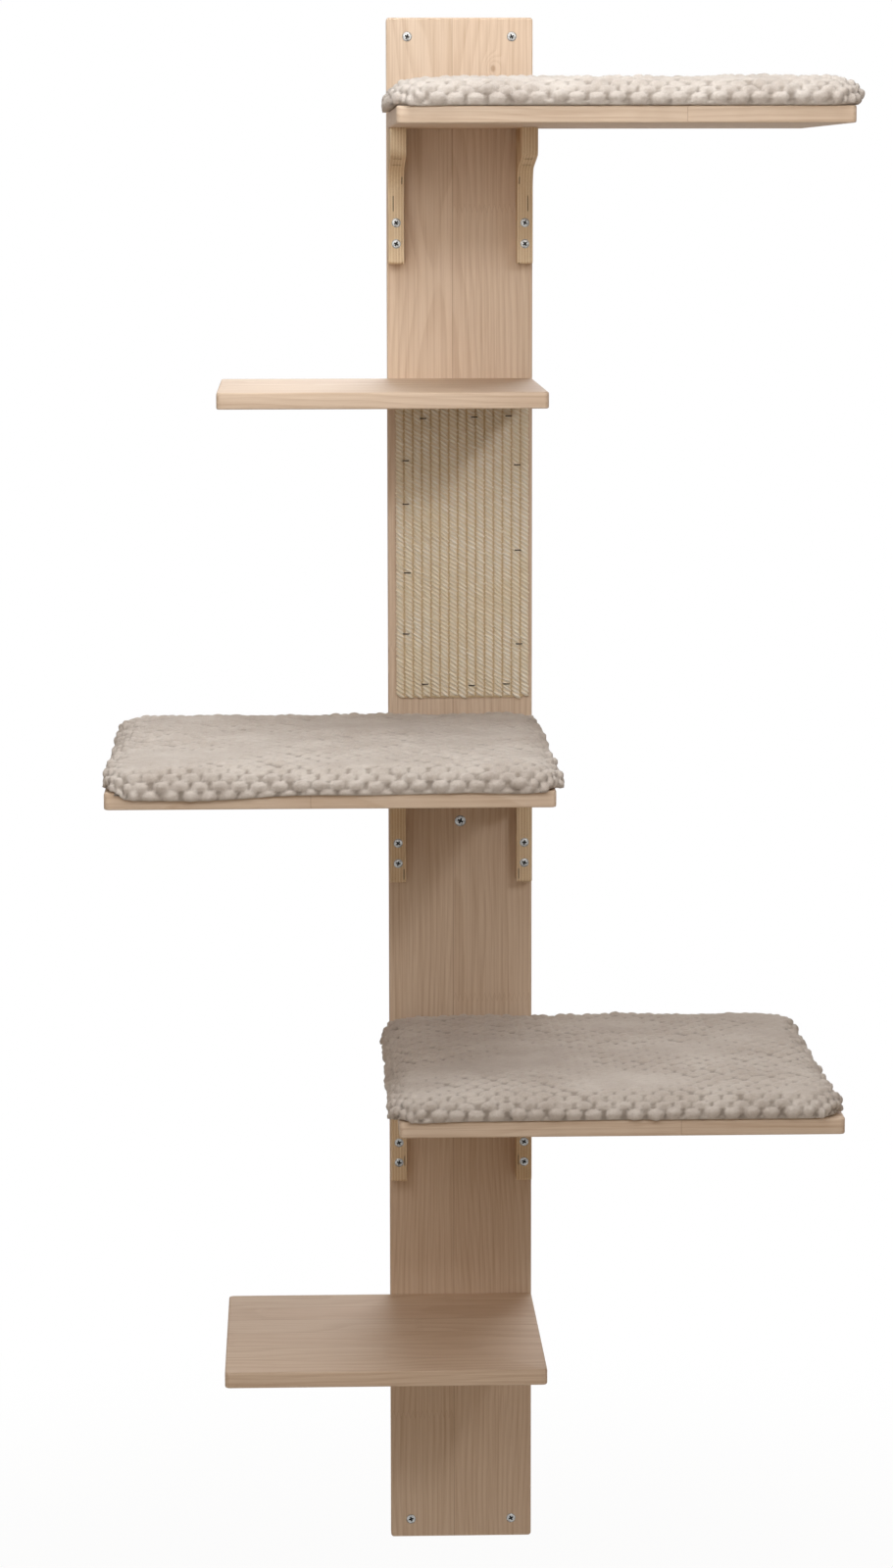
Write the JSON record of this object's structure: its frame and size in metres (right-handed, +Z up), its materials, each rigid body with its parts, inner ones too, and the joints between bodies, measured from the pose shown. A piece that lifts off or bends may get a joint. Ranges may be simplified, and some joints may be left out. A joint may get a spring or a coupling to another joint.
{
  "type": "wall mounted cat tree",
  "caption": "Tall wooden wall panel with cushioned shelves on plywood brackets, small bare steps, and a stapled sisal scratching mat.",
  "frame": {"origin": "centre of the panel's back face, which lies against the wall", "axes": "+Z up, +Y into the wall, +X to the right of someone who faces the wall"},
  "size_m": [0.672, 0.456, 1.5],
  "materials": {
    "pine": "sanded and matt, with fine straight grain",
    "plywood": "sanded faces, plies showing on the edges",
    "plush": "short beige grey plush, embossed with small round bumps",
    "sisal": "coarse woven sisal",
    "hook_tape": "woven tape with stiff hooks",
    "loop_tape": "woven tape with soft loops",
    "zinc": "zinc plated",
    "staple_wire": "dull wire"
  },
  "bodies": {
    "root": {"back_panel": "pine", "shelf_top": "pine", "step_upper": "pine", "shelf_middle": "pine", "shelf_lower": "pine", "step_lower": "pine", "bracket_top_left": "plywood", "bracket_top_right": "plywood", "bracket_middle_left": "plywood", "bracket_middle_right": "plywood", "bracket_lower_left": "plywood", "bracket_lower_right": "plywood", "hook_strips_top": "hook_tape", "hook_strips_middle": "hook_tape", "hook_strips_lower": "hook_tape", "sisal_mat": "sisal", "sisal_staples": "staple_wire", "wall_screws": "zinc", "wall_screw_middle": "zinc", "bracket_leg_screws": "zinc", "bracket_arm_screws": "zinc", "shelf_back_screws": "zinc"},
    "top_cushion": {"cushion_top": "plush", "loop_strips_top": "loop_tape"},
    "middle_cushion": {"cushion_middle": "plush", "loop_strips_middle": "loop_tape"},
    "lower_cushion": {"cushion_lower": "plush", "loop_strips_lower": "loop_tape"}
  },
  "joints": [
    {"name": "top_cushion_lift", "type": "slide", "parent": "root", "child": "top_cushion", "axis": [0, 0, 1], "range_m": [0, 0.08]},
    {"name": "middle_cushion_lift", "type": "slide", "parent": "root", "child": "middle_cushion", "axis": [0, 0, 1], "range_m": [0, 0.08]},
    {"name": "lower_cushion_lift", "type": "slide", "parent": "root", "child": "lower_cushion", "axis": [0, 0, 1], "range_m": [0, 0.08]}
  ]
}
